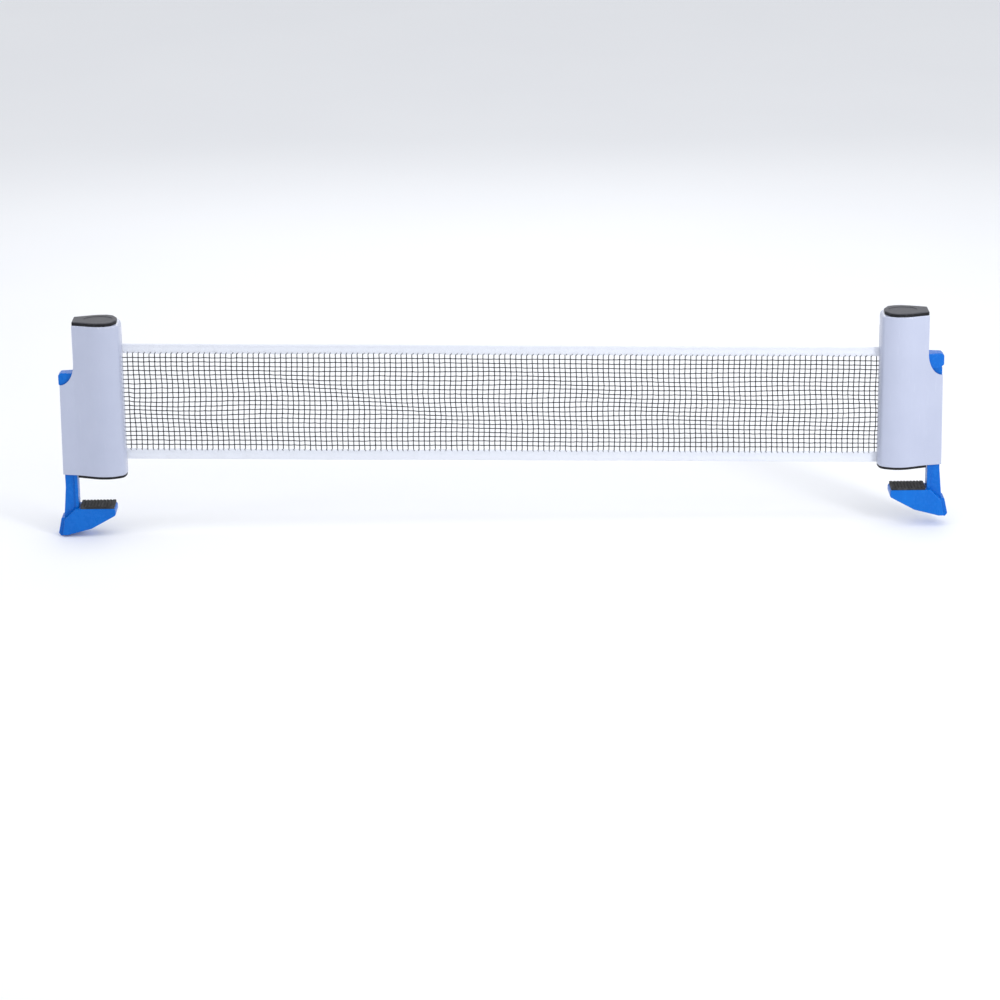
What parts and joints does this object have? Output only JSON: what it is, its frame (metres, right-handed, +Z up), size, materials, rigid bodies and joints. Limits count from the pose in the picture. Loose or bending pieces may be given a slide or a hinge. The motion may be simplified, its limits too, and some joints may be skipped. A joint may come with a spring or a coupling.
{
  "type": "table tennis net set",
  "caption": "Retractable table tennis net between two clamp-on posts: the net winds onto a sprung roller and thumb-tab clamps grip the table's edges.",
  "frame": {"origin": "the left post's roller axis at the underside of its foot pad, on the table top", "axes": "+X along the net to the right post, +Z up, -Y towards the player's side"},
  "size_m": [1.098, 0.041, 0.2763],
  "materials": {
    "post_shell": "satin light silver-grey moulding",
    "black_plastic": "satin black moulding",
    "clamp_blue": "satin blue moulding",
    "black_rubber": "matt black rubber",
    "screw_steel": "zinc-plated steel",
    "spring_steel": "bright spring wire",
    "roller_tube": "grey extruded tube",
    "bush_acetal": "white acetal",
    "net_cord": "black knotted cord",
    "net_tape": "white woven tape",
    "wound_net": "net wound in layers"
  },
  "bodies": {
    "left_post": {"left_housing": "post_shell", "left_slot_cover": "post_shell", "left_top_cap": "black_plastic", "left_foot": "black_plastic", "left_foot_pads": "black_rubber", "left_foot_screws": "screw_steel", "left_spring_anchor": "black_plastic", "left_spring_guide": "screw_steel", "left_clamp_spring": "spring_steel", "roller_arbor": "screw_steel", "roller_bottom_bush": "bush_acetal", "roller_top_bush": "bush_acetal", "roller_spring": "spring_steel", "net_bottom_tape": "net_tape", "net_mesh": "net_cord", "net_top_tape": "net_tape", "net_end_hem": "net_tape"},
    "roller": {"net_roller": "roller_tube", "net_roll": "wound_net"},
    "left_clamp": {"left_clamp_slider": "clamp_blue", "left_jaw_pad": "black_rubber"},
    "right_post": {"right_housing": "post_shell", "right_slot_cover": "post_shell", "right_top_cap": "black_plastic", "right_foot": "black_plastic", "right_foot_pads": "black_rubber", "right_foot_screws": "screw_steel", "right_spring_anchor": "black_plastic", "right_spring_guide": "screw_steel", "right_clamp_spring": "spring_steel", "net_end_rod": "black_plastic"},
    "right_clamp": {"right_clamp_slider": "clamp_blue", "right_jaw_pad": "black_rubber"}
  },
  "joints": [
    {"name": "net_pull", "type": "slide", "parent": "left_post", "child": "right_post", "axis": [1, 0, 0], "range_m": [-0.92, 0.75], "deforming": ["net_bottom_tape", "net_mesh", "net_top_tape", "net_end_hem"]},
    {"name": "roller_spin", "type": "hinge", "parent": "left_post", "child": "roller", "pos_m": [0, 0, 0.09], "axis": [0, 0, 1], "range_deg": [-3583, 4395]},
    {"name": "left_clamp_slide", "type": "slide", "parent": "left_post", "child": "left_clamp", "axis": [0, 0, 1], "range_m": [-0.013, 0.035], "stiffness_N_per_m": 300, "springref_m": 0.0024, "deforming": ["left_clamp_spring"]},
    {"name": "right_clamp_slide", "type": "slide", "parent": "right_post", "child": "right_clamp", "axis": [0, 0, 1], "range_m": [-0.025, 0.023], "stiffness_N_per_m": 300, "springref_m": 0.0024, "deforming": ["right_clamp_spring"]}
  ],
  "couplings": [
    {"joint": "roller_spin", "follows": "net_pull", "rad_per_m": -83.333}
  ]
}
